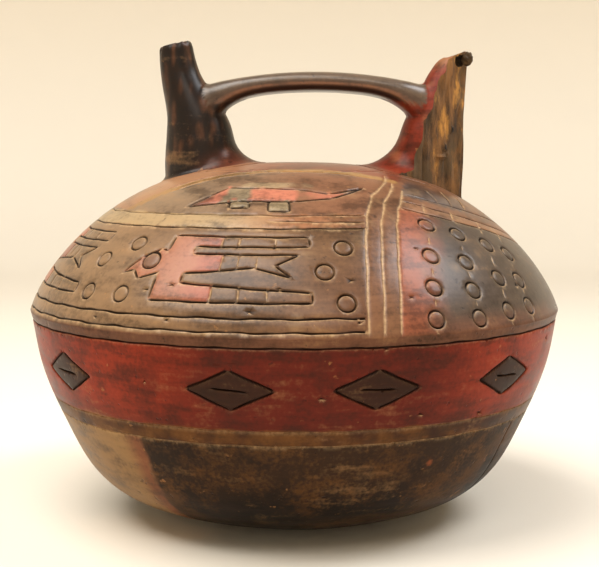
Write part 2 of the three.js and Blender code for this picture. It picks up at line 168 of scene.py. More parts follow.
class Stroke:
    """A groove on one half of the body, with stations about a millimetre apart."""

    def __init__(self, half, places, joined=False, width=1, depth=1, pale=0, wave=0.1, step=1.1, wear=1):
        angles = np.radians([place[0] for place in places])
        runs = np.array([half.run_at(place[1]) for place in places], float)
        if joined:
            angles = np.append(angles, angles[0])
            runs = np.append(runs, runs[0])
        legs = np.hypot(np.diff(angles) * half.radius_at((runs[1:] + runs[:-1]) / 2), np.diff(runs))
        along = np.concatenate([[0], np.cumsum(legs)])
        total = along[-1]
        count = max(int(round(total / step)), 2)
        lengths = np.linspace(0, total, count + 1)
        if joined:
            lengths = lengths[:-1]
        self.half = half
        self.joined = joined
        self.pale = pale
        self.wear = wear
        self.angle = np.interp(lengths, along, angles)
        self.run = np.interp(lengths, along, runs)
        radius = np.maximum(half.radius_at(self.run), 1)
        if joined:
            sideways = short_way(np.roll(self.angle, -1) - np.roll(self.angle, 1))
            down = np.roll(self.run, -1) - np.roll(self.run, 1)
            ends = np.ones_like(lengths)
        else:
            sideways = np.gradient(self.angle)
            down = np.gradient(self.run)
            ends = np.minimum(np.minimum(lengths, total - lengths) / 1.2 + 0.3, 1)
        tangent = np.stack([sideways * radius, down])
        tangent /= np.maximum(np.hypot(*tangent), 1e-9)
        self.side = np.stack([-tangent[1], tangent[0]])
        drift = wander(lengths, wave, 17) * ends * (0 if joined else 1)
        self.angle = self.angle + drift * self.side[0] / radius
        self.run = self.run + drift * self.side[1]
        self.width = groove_half_width * width * (1 + wander(lengths, 0.16, 11)) * ends**0.5
        self.depth = groove_depth * depth * (1 + wander(lengths, 0.22, 14)) * ends

    def offsets(self, share):
        """Angles and runs of the points this share of the half width to one side."""
        radius = np.maximum(self.half.radius_at(self.run), 1)
        angle = self.angle + share * self.width * self.side[0] / radius
        return angle, self.run + share * self.width * self.side[1]


def incise(half, places, **kind):
    """Cuts one groove into a half of the body."""
    half.strokes.append(Stroke(half, places, **kind))


def ring(height, **kind):
    """Cuts a line all the way round the bowl."""
    incise(bowl, [(angle, height) for angle in np.linspace(-180, 180, 49)], **kind)


def across(x, height, side=1):
    """A place by its distance across the vessel, in front or, with side -1, behind."""
    half = shoulder if height >= edge_height else bowl
    radius = half.radius_at(half.run_at(height))
    angle = math.degrees(math.asin(max(-1, min(1, x / radius))))
    return (angle if side > 0 else 180 - angle, height)


def from_above(x, y):
    """A place on the shoulder by its distances to the right and behind."""
    return (math.degrees(math.atan2(x, -y)), float(shoulder_height(x, y)))


def rise(angle, up):
    """A place on the shoulder by its height above the edge."""
    return (angle, edge_height + up)


def polyline(half, places, **kind):
    """Cuts straight grooves from place to place, each lifted and set down by itself."""
    for pair in zip(places, places[1:]):
        incise(half, pair, **kind)


def circle(place, radius, **kind):
    """Cuts a circle round a place on the shoulder."""
    run = float(shoulder.run_at(place[1]))
    here = float(shoulder.radius_at(run))
    places = []
    for turn in np.linspace(0, 2 * np.pi, 25)[:-1]:
        angle = place[0] + math.degrees(radius * math.cos(turn) / here)
        height = float(np.interp(run - radius * math.sin(turn), shoulder.run, shoulder.height))
        places.append((angle, height))
    incise(shoulder, places, joined=True, step=0.85, **kind)


def dot(half, place, size):
    """Cuts a small pit, a stroke too short to show its ends."""
    turn = math.degrees(0.12 / float(half.radius_at(half.run_at(place[1]))))
    incise(half, [(place[0] - turn, place[1]), (place[0] + turn, place[1])], wave=0)
    half.strokes[-1].width[:] = size
    half.strokes[-1].depth[:] = pit_depth


edge_groove = edge_height - 2.6
red_foot = edge_groove - 23
ochre_foot = red_foot - 4.3
diamond_middle = (edge_groove + red_foot) / 2
front_diamonds = [-54, -12.4, 16, 48]
last_to_first = front_diamonds[0] + 360 - front_diamonds[-1]
back_diamonds = [front_diamonds[-1] + last_to_first * (i + 1) / 5 for i in range(4)]
diamonds = front_diamonds + [short_way(angle, 360) for angle in back_diamonds]
diamond_half_angle = 8.8
diamond_half_height = 5.6

ring(edge_groove, width=0.9, depth=0.9, wear=0.45)
ring(red_foot, width=0.6, depth=0.5, pale=0.5, wear=0.5)
ring(ochre_foot, width=0.55, depth=0.45, pale=0.6, wear=0.6)
for angle in diamonds:
    corners = [
        (angle - diamond_half_angle, diamond_middle),
        (angle, diamond_middle + diamond_half_height),
        (angle + diamond_half_angle, diamond_middle),
        (angle, diamond_middle - diamond_half_height),
        (angle - diamond_half_angle, diamond_middle),
    ]
    polyline(bowl, corners, width=1.0, depth=1.15, wear=0.3)
    dash = diamond_half_angle * 0.4
    tilt = hand.uniform(-0.5, 0.5)
    ends = [(angle - dash, diamond_middle + tilt), (angle + dash, diamond_middle - tilt)]
    incise(bowl, ends, width=0.85, depth=1.3, wear=0.2)

band_x = [19.2, 23.5, 28]
band_top = [41, 38.9, 36.8]
band_spread = 7.5
band_turn_power = 8
border_foot = 27.4
border_top = 30.8
crown_line_y = 30
crown_inner_y = 26.6


def band_turn(up):
    """How far the upright band's lines have turned outwards at this rise."""
    return band_spread * (up / band_top[0]) ** band_turn_power


def band_line(x, top, side):
    """One line of the upright band, from the edge up to its top."""
    return [across(x + band_turn(up), edge_height + up, side) for up in np.linspace(0.2, top, 9)]


for side, shown in ((1, band_x), (-1, band_x[::2])):
    for x in shown:
        line = band_line(x, band_top[band_x.index(x)], side)
        incise(shoulder, line, width=1.15, depth=0.6, pale=1, wave=0.12)
for up, kind in (
    (1.6, {"width": 0.85, "depth": 0.85}), (5.1, {"width": 0.95, "depth": 1}),
    (border_foot, {"width": 0.8, "depth": 0.8}),
    (border_top, {"width": 0.8, "depth": 0.75, "pale": 0.2}),
):
    end = across(band_x[0], edge_height + up)[0]
    places = [rise(angle, up) for angle in np.linspace(end, -180 - end, 40)]
    incise(shoulder, places, wave=0.2, **kind)
incise(shoulder, [rise(-6, 29.4), rise(18.5, 28.9)], width=0.7, depth=0.6)
for side in (1, -1):
    for line_y, end_x, size in ((crown_line_y, band_x[0] + band_spread / 2, 0.8), (crown_inner_y, -8, 0.7)):
        places = [from_above(x, -side * line_y) for x in np.linspace(-36, end_x, 9)]
        incise(shoulder, places, width=size, depth=size, pale=0.3)

# Birds: an outline, a head that looks left, an eye and the bars across its feathers, in shares of
# the bird's reach and height. The same bird is repeated round the body.
bird_breast = -30
bird_reach = 33.5
bird_foot = 8.9
bird_height = 16.4
bird_turns = [0, -56, -115]
bird_outline = [
    (0, 0.76), (0, 1), (1, 1), (1, 0.85), (0.2, 0.84), (0.2, 0.73), (0.93, 0.73), (0.77, 0.57),
    (0.88, 0.38), (0.64, 0.53), (0.18, 0.42), (0.18, 0.28), (1, 0.16), (1, 0), (0, 0), (0, 0.36),
]
bird_head = [
    (0, 0.76), (-0.06, 0.79), (-0.19, 0.64), (-0.29, 0.38), (-0.2, 0.45), (-0.14, 0.31), (0, 0.42),
]
bird_bars = [
    (0.385, 0.845, 0.99), (0.51, 0.845, 0.99), (0.765, 0.845, 0.98),
    (0.42, 0.48, 0.73), (0.53, 0.52, 0.72), (0.655, 0.54, 0.66),
    (0.565, 0.02, 0.22), (0.735, 0.02, 0.19), (0.395, 0.01, 0.24),
]
bird_eye = (-0.1, 0.6)
bird_red = [
    (0, 1), (0.385, 1), (0.385, 0.845), (0.2, 0.84), (0.2, 0.73), (0.42, 0.73), (0.42, 0.48),
    (0.18, 0.42), (0.18, 0.28), (0.395, 0.25), (0.395, 0), (0, 0), *bird_head[::-1],
]
circles_before = [(-18.5, 18.2), (-10.3, 22.9), (-17.5, 9.7), (-7.4, 9.9)]
circles_behind_tail = [(41.2, 22.6), (36.3, 16.7), (40, 8.9)]


def bird_place(breast, spot):
    """A spot of the bird, in its shares, as a place on the shoulder."""
    return rise(breast + bird_reach * spot[0], bird_foot + bird_height * spot[1])


circle_places = []
circle_radius = 2.5
eye_radius = 2.8
for turn in bird_turns:
    breast = bird_breast + turn
    for line in (bird_outline, bird_head):
        polyline(shoulder, [bird_place(breast, spot) for spot in line])
    for along, low, high in bird_bars:
        ends = [bird_place(breast, (along, low)), bird_place(breast, (along, high))]
        incise(shoulder, ends, width=0.8, depth=0.55, pale=0.8)
    circle(bird_place(breast, bird_eye), eye_radius)
    circle_places += [rise(breast + angle, up) for angle, up in circles_before]
circle_places += [rise(bird_breast + angle, up) for angle, up in circles_behind_tail]

# Right-hand panel: columns of circles on thin upright lines, below three slanting lines. A column is
# its distance across, its lean, the rises of its top and foot, and its count of circles.
circle_columns = [
    (37.8, 0.03, 27.8, 4, 4), (50.9, 0.19, 25, 3.4, 4),
    (60.7, 0.26, 21.6, 4.4, 3), (68.4, 0.34, 18.6, 4.7, 3),
]
link_gap = 3.4
slant_lines = [((41, 35.9), (90, 24.1)), ((36.8, 34.1), (90, 20)), ((33.5, 32.3), (90, 17.7))]
for x, lean, top, foot, count in circle_columns:
    ups = np.linspace(foot, top, count)
    column = [(x - lean * up, up) for up in ups]
    circle_places += [across(x_here, edge_height + up) for x_here, up in column]
    links = [(0.3, foot - link_gap)]
    links += [(low + link_gap, high - link_gap) for low, high in zip(ups, ups[1:])]
    links.append((top + 3.3, top + 5.4))
    for low, high in links:
        ends = [across(x - lean * up, edge_height + up) for up in (low, high)]
        incise(shoulder, ends, width=0.85, depth=0.5, pale=1)
for start, end in slant_lines:
    places = [rise(*place) for place in np.linspace(start, end, 9)]
    incise(shoulder, places, width=0.85, depth=0.85)
columns_behind = [(116, 4.5, 7.2, 4), (132, 4.5, 7.2, 4), (148, 4.5, 7.2, 4), (-177, 9.5, 6.8, 3)]
for turn, foot, step, count in columns_behind:
    circle_places += [rise(turn, foot + step * i) for i in range(count)]
for place in circle_places:
    circle(place, circle_radius, pale=0.08, depth=hand.uniform(0.95, 1.3))

# Upper register: an animal with its legs and tail, hatching beside the stub and the collar round it.
animal_back = [(-34.4, 32.7), (-29, 35.8), (-25, 37.9), (-12, 37.9), (1, 37.6), (12, 36.4), (26, 37.8)]
animal_belly = [(-34.4, 32.7), (-18, 34.4), (0, 34.5), (12, 35.2), (26, 37.8)]
animal_legs = [
    [(-20.7, 34.4), (-19.6, 32.6), (-13.4, 32.7), (-14.2, 34.5)],
    [(-8.3, 34.5), (-7.5, 31.9), (-1.4, 31.9), (-1.5, 34.5)],
]
for line in (animal_back, animal_belly, *animal_legs):
    polyline(shoulder, [rise(*place) for place in line], width=1.25, depth=1.4)
collar = [(27.5, -18), (33.5, -17.4), (40, -14.8), (46, -10), (50.5, -4), (52.4, 3)]
for side in (1, -1):
    places = [from_above(x, y * side) for x, y in collar]
    incise(shoulder, places, width=0.9, depth=0.9)
for top, foot in (((66, 36.1), (57.2, 32.4)), ((72.7, 34.4), (63.1, 31.2)), ((56, 36.6), (52, 33.6))):
    incise(shoulder, [rise(*top), rise(*foot)], width=0.8, depth=0.7)

# Small chips of the skin, by angle, size and their rise above the edge or, on the bowl, their height,
# and a thin line low on the right.
line_low_right = [(59, ochre_foot), (59, 10)]
shoulder_pits = [
    (-8.5, 6.9, 0.5), (-24.6, 4.1, 0.5), (-15.7, 33.1, 0.6), (-31, 11.4, 0.4), (-25.5, 12.9, 0.45),
    (11.5, 14.5, 0.5), (54.8, 10.6, 0.8), (23.4, 9.9, 0.5), (12, 4, 0.4), (-42, 3.4, 0.45),
    (-3, 12.6, 0.35), (29, 22, 0.35),
]
bowl_pits = [
    (17, 62, 0.5), (66, 58.6, 0.6), (26, 43, 0.4), (-30, 52, 0.35), (5, 49, 0.3), (42, 41, 0.5),
]
for angle, up, size in shoulder_pits:
    dot(shoulder, rise(angle, up), size)
for angle, height, size in bowl_pits:
    dot(bowl, (angle, height), size)
incise(bowl, line_low_right, width=0.7, depth=0.4, wear=0.3)


# Skin of the body. Its surface is one burnished skin into which the drawing is cut, so the mesh is
# laid out with rows of points along every groove and a plain net between them.
profile_shares = (0, 1, -1, 0.5, -0.5, 1.5, -1.5)
point_gap = 0.17
net_step = 1.45
net_row_share = 0.87
net_stops_short = 0.45
groove_reach = 2.2
far_off = 9.0


def relief(half, angle, run):
    """Depth, darkness and paleness of the grooves at these places, and the room beside them."""
    depth = np.zeros_like(angle)
    dark = np.zeros_like(angle)
    pale = np.zeros_like(angle)
    room = np.full_like(angle, far_off)
    radius = np.maximum(half.radius_at(run), 1)
    for stroke in half.strokes:
        reach = groove_reach + stroke.width.max()
        near = (run > stroke.run.min() - reach) & (run < stroke.run.max() + reach)
        middle = (stroke.angle.max() + stroke.angle.min()) / 2
        half_span = (stroke.angle.max() - stroke.angle.min()) / 2
        turn = short_way(angle - middle)
        near &= np.abs(turn) * radius < (half_span * radius + reach)
        index = np.nonzero(near)[0]
        if not len(index):
            continue
        starts = np.arange(len(stroke.angle) - (0 if stroke.joined else 1))
        ends = (starts + 1) % len(stroke.angle)
        here = radius[index][:, None]
        dx = short_way(angle[index][:, None] - stroke.angle[starts]) * here
        dy = run[index][:, None] - stroke.run[starts]
        ex = short_way(stroke.angle[ends] - stroke.angle[starts]) * here
        ey = (stroke.run[ends] - stroke.run[starts])[None, :] + 0 * here
        t = np.clip((dx * ex + dy * ey) / np.maximum(ex**2 + ey**2, 1e-9), 0, 1)
        distance = np.hypot(dx - t * ex, dy - t * ey)
        best = distance.argmin(1)
        rows = np.arange(len(index))
        share = t[rows, best]
        width = stroke.width[starts[best]] * (1 - share) + stroke.width[ends[best]] * share
        deep = stroke.depth[starts[best]] * (1 - share) + stroke.depth[ends[best]] * share
        gap = distance[rows, best]
        below = half.out * (dy - t * ey)[rows, best] / width
        steep = np.abs(ey[rows, best]) / np.maximum(np.hypot(ex, ey)[rows, best], 1e-6)
        # 0 in the middle of the groove, 1 at its edge. The skin beside it is painted pale: partly rubbed
        # wear, and on the lower side, where the light from above falls, partly a painted highlight.
        off = gap / width
        cut = np.clip(1.08 - off, 0, 1) ** 0.8
        lip = np.clip(1 - np.abs(off - 1.1) / 0.6, 0, 1) * np.clip(0.35 + 0.65 * below, 0, 1)
        lip = lip * stroke.wear
        tone = np.clip(stroke.pale + 0.35 * steep**2 * (half is shoulder), 0, 1)
        depth[index] = np.maximum(depth[index], deep * cut)
        # Darker in deeper grooves: partly dirt, partly painted shade in the cut.
        dark[index] = np.maximum(dark[index], cut * (1 - tone) * np.clip(deep / 0.5, 0, 1))
        pale[index] = np.maximum(pale[index], np.maximum(lip * (1 - 0.4 * tone), cut * tone))
        room[index] = np.minimum(room[index], gap - 1.6 * width)
    return depth, dark, pale, room


def laid_points(half):
    """Angles and runs of the skin's points: along the grooves first, and then the net."""
    angles = []
    runs = []
    taken = {}

    def add(angle, run):
        if run > half.end - net_stops_short or run < 0.5:
            return
        x, y, z = half.place(angle, run)
        cell = (int(x // point_gap), int(y // point_gap), int(z // point_gap))
        for i in (-1, 0, 1):
            for j in (-1, 0, 1):
                for k in (-1, 0, 1):
                    for spot in taken.get((cell[0] + i, cell[1] + j, cell[2] + k), ()):
                        if (spot[0] - x) ** 2 + (spot[1] - y) ** 2 + (spot[2] - z) ** 2 < point_gap**2:
                            return
        taken.setdefault(cell, []).append((x, y, z))
        angles.append(angle)
        runs.append(run)

    for share in profile_shares:
        for stroke in half.strokes:
            for angle, run in zip(*stroke.offsets(share)):
                add(float(angle), float(run))
    net_angles = []
    net_runs = []
    rows = int(half.end / (net_step * net_row_share))
    for row in range(1, rows):
        run = half.end * row / rows
        count = max(int(round(2 * math.pi * float(half.radius_at(run)) / net_step)), 6)
        turn = (np.arange(count) + row % 2 / 2) * 2 * np.pi / count - np.pi
        net_angles.append(turn)
        net_runs.append(np.full(count, run))
    net_angles = np.concatenate(net_angles)
    net_runs = np.concatenate(net_runs)
    free = relief(half, net_angles, net_runs)[3] > 0.3
    rim_turns = np.linspace(-np.pi, np.pi, 401)[:-1]
    angle = np.concatenate([[0], angles, net_angles[free], rim_turns])
    run = np.concatenate([[0], runs, net_runs[free], np.full(len(rim_turns), half.end)])
    return angle, run


def undulation(points):
    """How far the hand-worked surface falls inside the true outline, in millimetres."""
    low = np.array([noise.noise(Vector(point) / 21) for point in points])
    small = np.array([noise.noise(Vector(point) / 6.5 + Vector((9, 4, 2))) for point in points])
    return 0.15 + 0.12 * np.clip(low, -1, 1) + 0.02 * np.clip(small, -1, 1)


vertices = []
triangles = []
carved = []
for half in (shoulder, bowl):
    angle, run = laid_points(half)
    chart = [Vector((r * math.sin(a), -r * math.cos(a))) for a, r in zip(angle, run)]
    out = delaunay_2d_cdt(chart, [], [], 0, 1e-6)
    order = [chosen[0] for chosen in out[3]]
    angle = angle[order]
    run = run[order]
    depth, dark, pale, room = relief(half, angle, run)
    settle = np.clip((half.end - run) / 1.5, 0, 1)
    if half is bowl:
        settle = settle * np.clip((run - 30) / 6, 0, 1)
    sink = undulation(half.place(angle, run)) * settle
    depth *= np.clip((half.end - run) / 0.4, 0, 1)
    first = len(vertices)
    vertices += (half.place(angle, run, depth + sink) * MM).tolist()
    carved += np.stack([dark, pale], axis=-1).tolist()
    faces = [face if half is shoulder else face[::-1] for face in out[2]]
    triangles += [[first + corner for corner in face] for face in faces]


def modelled(name, points, edges, faces):
    """A new object over these points, in metres."""
    mesh = bpy.data.meshes.new(name)
    mesh.from_pydata(points, edges, faces)
    obj = bpy.data.objects.new(name, mesh)
    bpy.context.scene.collection.objects.link(obj)
    return obj


def alone(obj):
    """Selects one object and makes it active."""
    bpy.ops.object.select_all(action="DESELECT")
    obj.select_set(True)
    bpy.context.view_layer.objects.active = obj


def edit(obj, *steps):
    """Runs these steps, each with its settings, on one object's whole mesh."""
    alone(obj)
    bpy.ops.object.mode_set(mode="EDIT")
    bpy.ops.mesh.select_all(action="SELECT")
    for step, settings in steps:
        step(**settings)
    bpy.ops.object.mode_set(mode="OBJECT")


def close_seams(obj, gap=0.001 * MM):
    """Merges doubles and turns the faces outwards."""
    merge = (bpy.ops.mesh.remove_doubles, {"threshold": gap})
    edit(obj, merge, (bpy.ops.mesh.normals_make_consistent, {"inside": False}))


bottle = modelled("bottle_clay", vertices, [], triangles)
close_seams(bottle, 0.02 * MM)


# Chamber. The body is hollow, with a wall of even thickness that follows the outside. The profile of
# the inside is spun about the upright axis and taken away from the body.
def spun(name, profile, steps):
    """A profile of radius and height, spun about the upright axis."""
    points = [(r * MM, 0, z * MM) for r, z in profile]
    obj = modelled(name, points, [(i, i + 1) for i in range(len(points) - 1)], [])
    settings = {"steps": steps, "angle": 2 * math.pi, "center": (0, 0, 0), "axis": (0, 0, 1)}
    edit(obj, (bpy.ops.mesh.spin, settings))
    close_seams(obj)
    return obj


inside = [(0, wall)]
for half, shares in ((bowl, np.linspace(0.28, 0.985, 15)), (shoulder, np.linspace(0.97, 0.06, 17))):
    for run in half.end * shares:
        x, y, z = half.place(0.0, run, wall)
        if z > inside[-1][1] + 0.3:
            inside.append((-y, z))
inside.append((0, crown_height - wall))
chamber = spun("chamber", inside, 72)


# Spout and stub. Each was a tapering tube of clay, pressed onto the shoulder and smoothed down so
# that its foot flares and dies into it. The second one has broken: only its inner back is left.
rim_rounding = 0.45
rim_start = 0.965
foot_sunk = 3.5
flare_bite = 0.06
flare_rows = 9


class Column:
    """A leaning, tapering tube over stations of height, distance across and width."""

    def __init__(self, stations, outer_flare, inner_flare, inwards, rim_fall, sides, rows):
        line = smooth_line([(x, width, height) for height, x, width in stations])
        self.x, self.width, self.height = line.T
        self.top = stations[-1][0]
        self.flares = outer_flare, inner_flare, inwards
        self.rim_fall = rim_fall
        self.sides = sides
        self.rows = rows

    def at(self, height):
        return np.interp(height, self.height, self.x), np.interp(height, self.height, self.width)

    def point(self, angle, height, out=0):
        x, width = self.at(height)
        radius = width / 2 + out
        return x + radius * math.cos(angle), radius * math.sin(angle), height

    def flare_point(self, angle, out, lift):
        x, y, z = self.point(angle, crown_height, out)
        for _ in range(4):
            z = float(shoulder_height(x, y)) + lift
            x, y, z = self.point(angle, z, out)
        return x, y, z

    def rings(self, chips):
        """The rings of points from below the shoulder up to the rim, less the rim's chips."""
        outer, inner, inwards = self.flares
        turns = [2 * math.pi * side / self.sides for side in range(self.sides)]
        flares = [outer + (inner - outer) * max(inwards * math.cos(turn), 0) for turn in turns]
        rings = [[self.flare_point(turn, flare, -foot_sunk) for turn, flare in zip(turns, flares)]]
        for row in range(flare_rows + 1):
            bend = math.pi / 2 * row / flare_rows
            out, lift = 1 - math.sin(bend), 1 - math.cos(bend)
            rings.append([
                self.flare_point(turn, flare * out, flare * lift - flare_bite)
                for turn, flare in zip(turns, flares)
            ])
        starts = [spot[2] for spot in rings[-1]]
        for row in range(1, self.rows + 1):
            share = row / self.rows
            ring_points = []
            for turn, start in zip(turns, starts):
                top = self.top + self.rim_fall * (math.cos(turn) - 1) - chips(turn)
                inset = -rim_rounding * max(0, (share - rim_start) / (1 - rim_start)) ** 2
                ring_points.append(self.point(turn, start + (top - start) * share, inset))
            rings.append(ring_points)
        return np.array(rings, float)


def loft(name, rings, roughen=0.0, seed=0):
    """A closed skin over rings of points, with both ends capped."""
    rows, sides = rings.shape[:2]
    points = rings.reshape(-1, 3).copy()
    if roughen:
        middles = rings.mean(axis=1)
        for i, point in enumerate(points):
            outward = point - middles[i // sides]
            outward[2] = 0
            outward /= max(np.linalg.norm(outward), 1e-6)
            spot = Vector((point[0] / 5 + seed, point[1] / 5, point[2] / 13))
            point -= outward * roughen * (0.5 + noise.noise(spot) + 0.35 * noise.noise(spot * 3.1))
    faces = []
    for row in range(rows - 1):
        for side in range(sides):
            after = (side + 1) % sides
            faces.append([row * sides + side, row * sides + after,
                          (row + 1) * sides + after, (row + 1) * sides + side])
    faces.append(list(range(sides))[::-1])
    faces.append([(rows - 1) * sides + side for side in range(sides)])
    obj = modelled(name, (points * MM).tolist(), [], faces)
    close_seams(obj)
    return obj


def rim_chips(turn):
    """How far the spout's rim is chipped down at this turn, in millimetres."""
    return 1.9 * max(noise.noise(Vector((3.4 * math.cos(turn), 3.4 * math.sin(turn), 1.7))), 0)


spout_column = Column([
    (crown_height, -28.9, 23.8), (124, -30.6, 19.1), (138, -35.8, 12.4), (spout_top, -37.2, 10.4),
], 1.8, 8, 1, 1.1, 80, 48)
stub_column = Column([
    (crown_height, 41.7, 23.5), (123, 43.9, 18.6), (136.3, 47.7, 12.8), (144.4, 50.6, 7),
], 0.8, 10.5, -1, 1.3, 80, 48)
spout = loft("spout", spout_column.rings(rim_chips), 0.22)
stub = loft("stub", stub_column.rings(lambda turn: 0.6 * noise.noise(Vector((turn, 2, 5)))), 0.22, 31)

# Bore of the spout. It was left by the stick or finger that the tube was shaped on, and runs from the
# rim down into the chamber. Its wall is thick on the bridge's side and thins towards the rim.
bore_widens_from = 124
outer_wall, outer_thinning = 1.6, 0.3
inner_wall, inner_thinning = 4, 2.7
side_wall, side_thinning = 2.2, 0.9
bore_rings = []
for height in np.linspace(float(shoulder_height(28.9, 0)) - 2 * wall, spout_top + 1, 24):
    x, width = spout_column.at(max(height, crown_height))
    rim = min(max((height - bore_widens_from) / (spout_top - bore_widens_from), 0), 1)
    rim = rim * rim * (3 - 2 * rim)
    outer = x - width / 2 + outer_wall - outer_thinning * rim
    inner = x + width / 2 - inner_wall + inner_thinning * rim
    middle = (inner + outer) / 2
    half_across = (inner - outer) / 2
    reach = width / 2 - side_wall + side_thinning * rim
    bore_rings.append([
        (middle + half_across * math.cos(turn), reach * math.sin(turn), height)
        for turn in np.linspace(0, 2 * math.pi, 41)[:-1]
    ])
bore = loft("bore", np.array(bore_rings))

# Bridge. A strap of clay, arched a little, set between the two spouts while both were soft, and
# thickened by hand at its ends.
bridge_height = 134.8
bridge_thickness = 6.2
bridge_end_drop = 5.8
bridge_width = 17
bridge_swell = 13
bridge_swell_rate = 3.5
bridge_swell_power = 6.6
bridge_narrowing = 0.32
narrows_from = 0.66
narrows_over = 0.3
bridge_rings = []
bridge_start = spout_column.at(bridge_height)[0]
bridge_end = stub_column.at(bridge_height)[0]
for share in np.linspace(0, 1, 61):
    from_middle = abs(2 * share - 1)
    taper = min(max((from_middle - narrows_from) / narrows_over, 0), 1) ** 1.5
    swell = 1 - math.exp(-bridge_swell_rate * from_middle**bridge_swell_power)
    thickness = bridge_thickness + bridge_swell * swell
    top = bridge_height + bridge_thickness / 2 - bridge_end_drop * from_middle**2
    x = bridge_start + (bridge_end - bridge_start) * share
    ring_points = []
    for turn in np.linspace(0, 2 * math.pi, 45)[:-1]:
        out = math.copysign(abs(math.cos(turn)) ** 0.6, math.cos(turn))
        up = math.copysign(abs(math.sin(turn)) ** 0.8, math.sin(turn))
        y = bridge_width / 2 * (1 - bridge_narrowing * taper) * out
        ring_points.append((x, y, top + thickness / 2 * (up - 1)))
    bridge_rings.append(ring_points)
bridge = loft("bridge", np.array(bridge_rings), 0.12, 12)

# Break. The second spout snapped along a steep face that leaves its coarse clay bare, with upright
# fibrous ridges, a few pits and a small knob at the tip.
break_x = 43.9
break_z = 123
break_turn = math.radians(35)
break_lean = math.radians(2)
break_distance = 5.1
break_width = 60
break_height = 74
break_depth = 34
columns_across = 96
rows_up = 84
break_holes = [
    (2.8, -3, 0.75, 0.8), (0.3, -8.5, 0.8, 0.85), (-0.6, -11.6, 2.1, 0.7), (1.2, -10.9, 0.9, 0.6),
]


def break_hole(x, z):
    """How deep in a small pit or crack of the broken face each place lies, from 0 to 1."""
    deep = np.zeros_like(np.asarray(x, float))
    for middle_x, middle_z, half_width, half_height in break_holes:
        away = np.hypot((x - middle_x) / half_width, (z - middle_z) / half_height)
        deep = np.maximum(deep, np.clip(1.3 - away, 0, 1))
    return deep


def break_depth_at(x, z):
    """How far the broken face stands out at a place across and up it, in millimetres."""
    ridges = noise.noise(Vector((x / 1.5, z / 11, 3))) * 0.75
    ridges += noise.noise(Vector((x / 0.7, z / 6, 8))) * 0.3
    lumps = noise.noise(Vector((x / 5.5, z / 9, 1))) * 0.9
    crumbs = noise.noise(Vector((x / 0.55, z / 0.9, 5))) * 0.14
    return ridges + lumps + crumbs - 1.2 * float(break_hole(x, z))


break_points = []
for row in range(rows_up + 1):
    for column in range(columns_across + 1):
        x = break_width * (column / columns_across - 0.5)
        z = break_height * (row / rows_up - 0.5)
        inner = 0 < row < rows_up and 0 < column < columns_across
        break_points.append((x, break_depth_at(x, z) if inner else 0, z))
count = columns_across + 1
break_faces = [
    [(r + 1) * count + c, (r + 1) * count + c + 1, r * count + c + 1, r * count + c]
    for r in range(rows_up) for c in range(columns_across)
]
loop = list(range(count)) + [r * count + count - 1 for r in range(1, rows_up + 1)]
loop += [rows_up * count + c for c in range(count - 2, -1, -1)]
loop += [r * count for r in range(rows_up - 1, 0, -1)]
first = len(break_points)
for corner in loop:
    x, y, z = break_points[corner]
    break_points.append((x, -break_depth, z))
for i, corner in enumerate(loop):
    after = (i + 1) % len(loop)
    break_faces.append([loop[i], loop[after], first + after, first + i])
break_faces.append([first + i for i in range(len(loop))])
break_points = [tuple(c * MM for c in point) for point in break_points]
break_block = modelled("break_face", break_points, [], break_faces)
break_block.rotation_euler = (break_lean, 0, break_turn)
break_block.location = (
    (break_x + break_distance * math.sin(break_turn)) * MM,
    -break_distance * math.cos(break_turn) * MM,
    break_z * MM,
)
alone(break_block)
bpy.ops.object.transform_apply(location=True, rotation=True, scale=True)
close_seams(break_block)


def lump(name, centre, radius, stretch):
    """A rough round lump of clay."""
    bpy.ops.object.select_all(action="DESELECT")
    place = Vector(centre) * MM
    bpy.ops.mesh.primitive_ico_sphere_add(subdivisions=4, radius=radius * MM, location=place)
    obj = bpy.context.active_object
    obj.name = name
    bpy.ops.object.transform_apply(location=True, rotation=True, scale=True)
    for vertex in obj.data.vertices:
        out = vertex.co - place
        rough = noise.noise(out.normalized() * 1.7) * 0.25 + noise.noise(out.normalized() * 6) * 0.08
        out.z *= stretch
        vertex.co = place + out * (1 + rough)
    return obj


knob = lump("knob", (54.1, -0.2, 142), 1.9, 1.1)
pit = lump("pit", (51.7, -2, 141.2), 1.7, 1.15)


# Joining. The parts are one body of clay, so they are made one closed surface, and each kind of
# surface keeps its own material: burnished slip outside, coarse clay in the break, bare clay inside.
class Value:
    """A number that flows through the material's nodes."""

    def __init__(self, nodes, socket):
        self.nodes = nodes
        self.socket = socket

    def _math(self, operation, other, swap=False):
        pair = (other, self) if swap else (self, other)
        return self.nodes.add("ShaderNodeMath", {"operation": operation}, pair)

    def __add__(self, other):
        return self._math("ADD", other)

    def __radd__(self, other):
        return self._math("ADD", other, True)

    def __sub__(self, other):
        return self._math("SUBTRACT", other)

    def __rsub__(self, other):
        return self._math("SUBTRACT", other, True)

    def __mul__(self, other):
        return self._math("MULTIPLY", other)

    def clamped(self, low, high, to_low=0.0, to_high=1.0):
        """This value's way from low to high, as a share, or between two other values."""
        settings = {"interpolation_type": "SMOOTHSTEP"}
        return self.nodes.add("ShaderNodeMapRange", settings, {
            "Value": self, "From Min": low, "From Max": high, "To Min": to_low, "To Max": to_high,
        })


